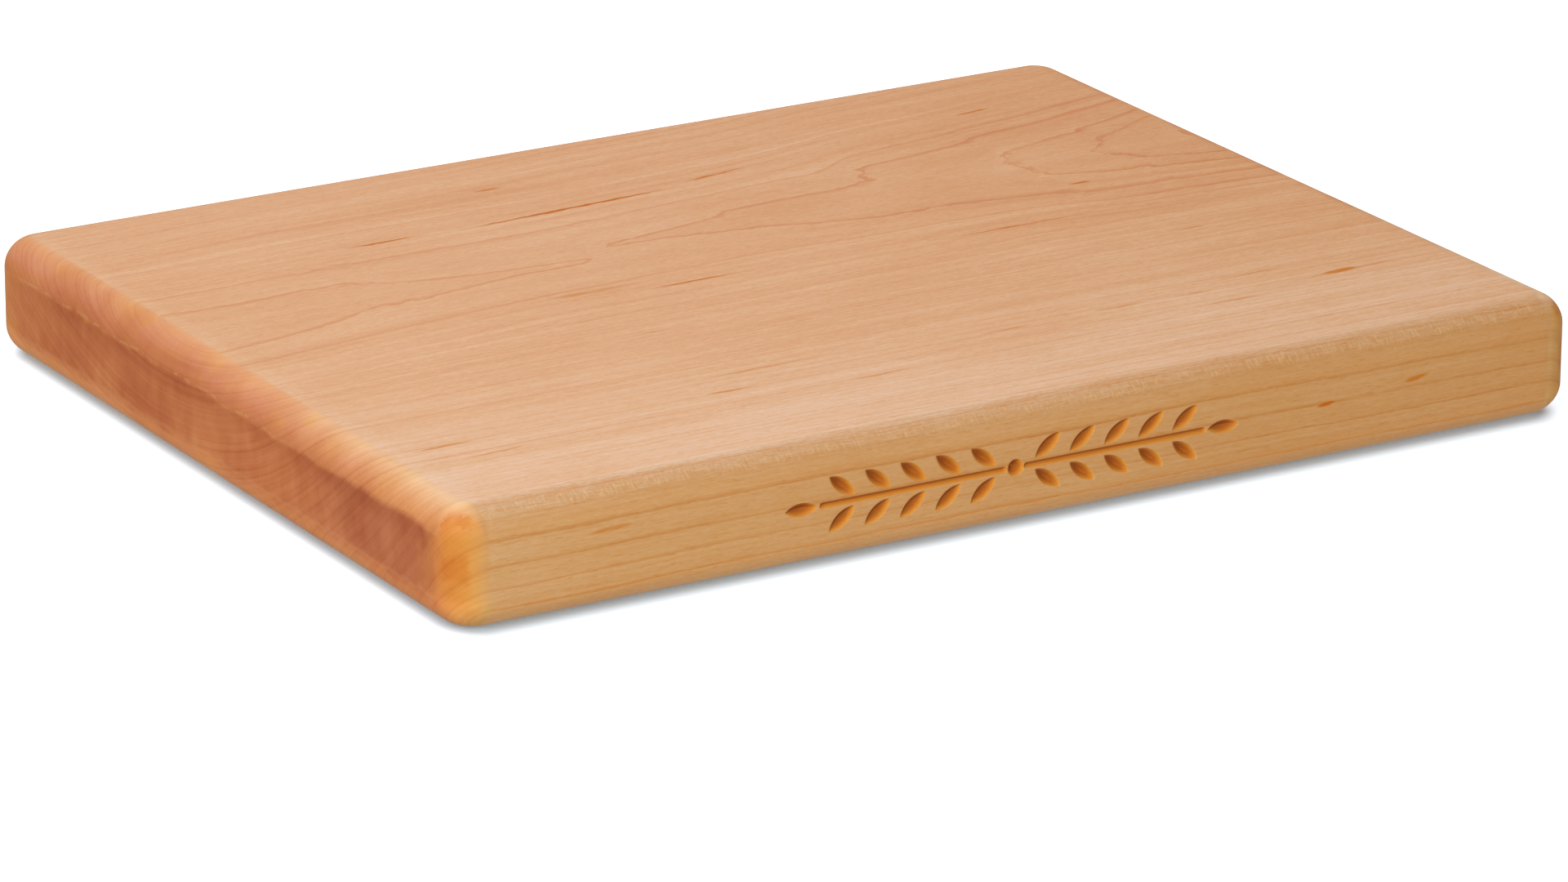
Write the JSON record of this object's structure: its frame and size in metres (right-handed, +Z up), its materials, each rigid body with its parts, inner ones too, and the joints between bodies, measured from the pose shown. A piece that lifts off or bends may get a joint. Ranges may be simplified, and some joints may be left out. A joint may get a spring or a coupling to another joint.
{
  "type": "cutting board",
  "caption": "Rectangular solid maple cutting board with rounded edges and corners and a shallow leaf band carved into the front edge.",
  "frame": {"origin": "middle of the underside, on the counter", "axes": "+X along the grain (the length), +Y from the carved edge towards the back (the width), +Z up (the thickness)"},
  "size_m": [0.3302, 0.254, 0.0318],
  "materials": {
    "maple": "satin"
  },
  "bodies": {
    "root": {"maple_plank": "maple"}
  },
  "joints": []
}
